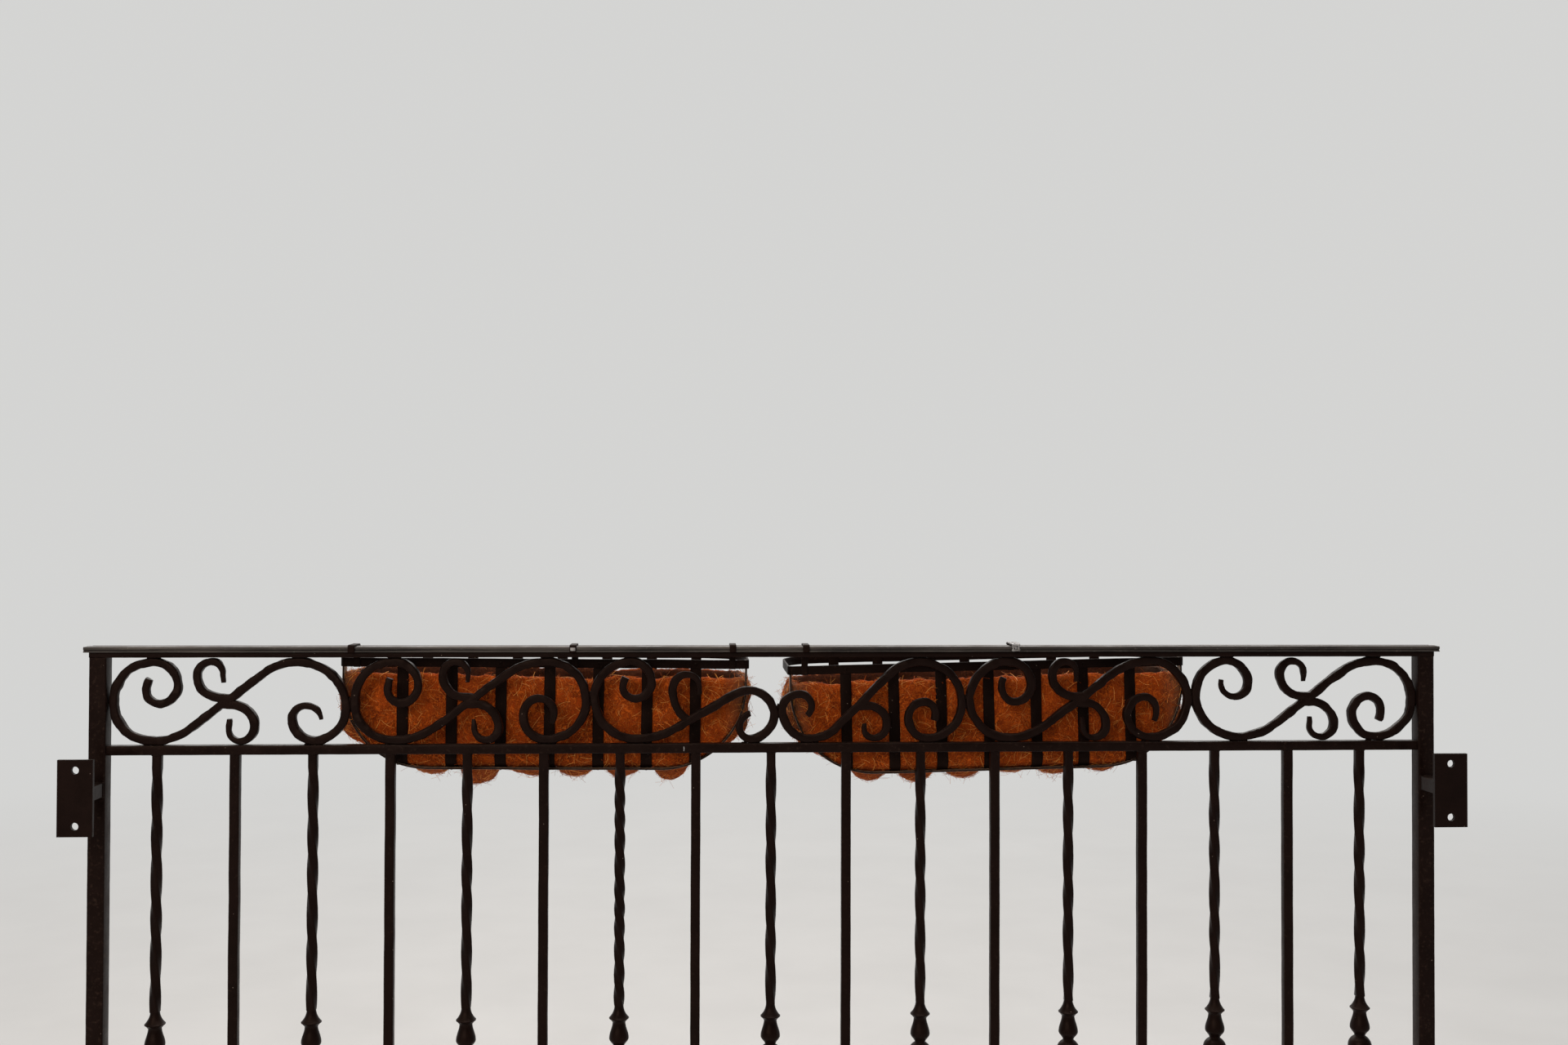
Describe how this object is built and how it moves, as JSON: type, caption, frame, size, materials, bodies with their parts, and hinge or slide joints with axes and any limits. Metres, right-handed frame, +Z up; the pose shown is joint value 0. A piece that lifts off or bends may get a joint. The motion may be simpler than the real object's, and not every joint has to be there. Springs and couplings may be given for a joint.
{
  "type": "juliet balcony",
  "caption": "Wrought-iron juliet balcony railing with a scrolled frieze under the handrail, twisted and plain balusters, wall flanges, and coir-lined strap planters hooked on behind.",
  "frame": {"origin": "middle of the lower left wall flange, on its face against the wall", "axes": "+X along the wall towards the right-hand post, +Y away from the wall and the room, +Z up"},
  "size_m": [2.0645, 0.3335, 1.0945],
  "materials": {
    "wrought_iron": "very dark brown-black paint over hammered bar, satin, with dust and wear on the arrises",
    "cap_iron": "dark paint worn and dusty along the top, satin",
    "strap_iron": "thin dark paint with rust showing through, satin",
    "coir": "rough felted coconut fibre with loose hairs"
  },
  "bodies": {
    "root": {"handrail_cap": "cap_iron", "top_rail": "wrought_iron", "frieze_rail": "wrought_iron", "bottom_rail": "wrought_iron", "post_left": "wrought_iron", "post_right": "wrought_iron", "baluster_1": "wrought_iron", "baluster_2": "wrought_iron", "baluster_3": "wrought_iron", "baluster_4": "wrought_iron", "baluster_5": "wrought_iron", "baluster_6": "wrought_iron", "baluster_7": "wrought_iron", "baluster_8": "wrought_iron", "baluster_9": "wrought_iron", "baluster_10": "wrought_iron", "baluster_11": "wrought_iron", "baluster_12": "wrought_iron", "baluster_13": "wrought_iron", "baluster_14": "wrought_iron", "baluster_15": "wrought_iron", "baluster_16": "wrought_iron", "baluster_17": "wrought_iron", "scroll_1": "wrought_iron", "scroll_2": "wrought_iron", "scroll_3": "wrought_iron", "scroll_4": "wrought_iron", "scroll_5": "wrought_iron", "scroll_6": "wrought_iron", "curls_1": "wrought_iron", "curls_2": "wrought_iron", "curls_3": "wrought_iron", "curls_4": "wrought_iron", "curls_5": "wrought_iron", "curls_6": "wrought_iron", "frieze_welds": "wrought_iron", "bracket_lower_left": "wrought_iron", "bracket_upper_left": "wrought_iron", "bracket_lower_right": "wrought_iron", "bracket_upper_right": "wrought_iron", "basket_frame_left": "strap_iron", "basket_frame_right": "strap_iron", "coir_liner_left": "coir", "coir_liner_right": "coir"}
  },
  "joints": []
}
